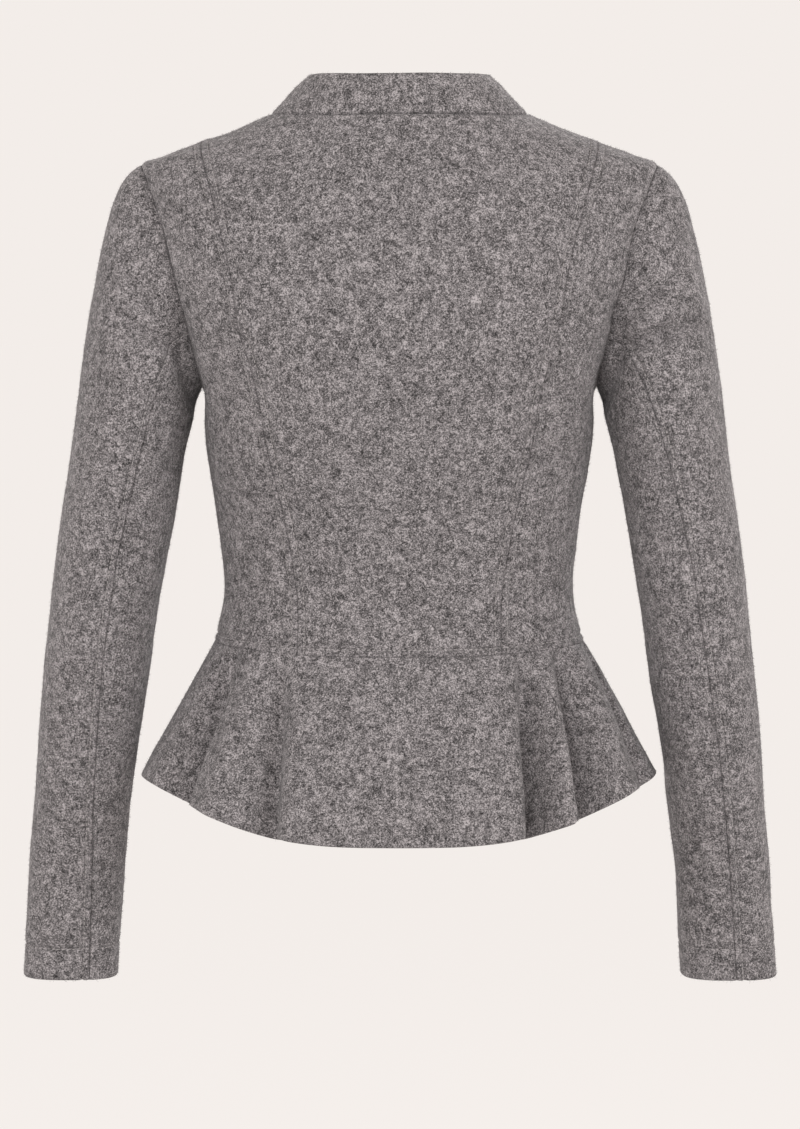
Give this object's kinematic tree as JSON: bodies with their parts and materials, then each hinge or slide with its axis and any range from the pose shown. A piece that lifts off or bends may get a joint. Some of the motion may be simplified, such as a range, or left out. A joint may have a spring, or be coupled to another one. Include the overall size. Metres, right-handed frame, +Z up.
{
  "type": "traditional jacket",
  "caption": "Fitted long-sleeved jacket of mottled grey boiled wool with a stand collar, shaped seams, a buttoned front and a fluted peplum, hollow as worn.",
  "frame": {"origin": "middle of the line between the two points where the collar meets the shoulder seams, where the wearer's shoulders carry the jacket", "axes": "+Z up along the worn jacket; the front faces -Y and the back +Y; +X is the wearer's left"},
  "size_m": [0.5815, 0.2898, 0.6913],
  "materials": {
    "boiled_wool": "matt felted wool, mottled light and dark grey, with a short nap",
    "horn": "satin dark grey horn-like button"
  },
  "bodies": {
    "root": {"back_centre": "boiled_wool", "back_side_left": "boiled_wool", "back_side_right": "boiled_wool", "front_left": "boiled_wool", "front_right": "boiled_wool", "collar": "boiled_wool", "peplum_back": "boiled_wool", "peplum_front_left": "boiled_wool", "peplum_front_right": "boiled_wool", "upper_sleeve_left": "boiled_wool", "under_sleeve_left": "boiled_wool", "upper_sleeve_right": "boiled_wool", "under_sleeve_right": "boiled_wool", "button_1": "horn", "button_2": "horn", "button_3": "horn", "button_4": "horn", "button_5": "horn", "button_6": "horn"}
  },
  "joints": []
}
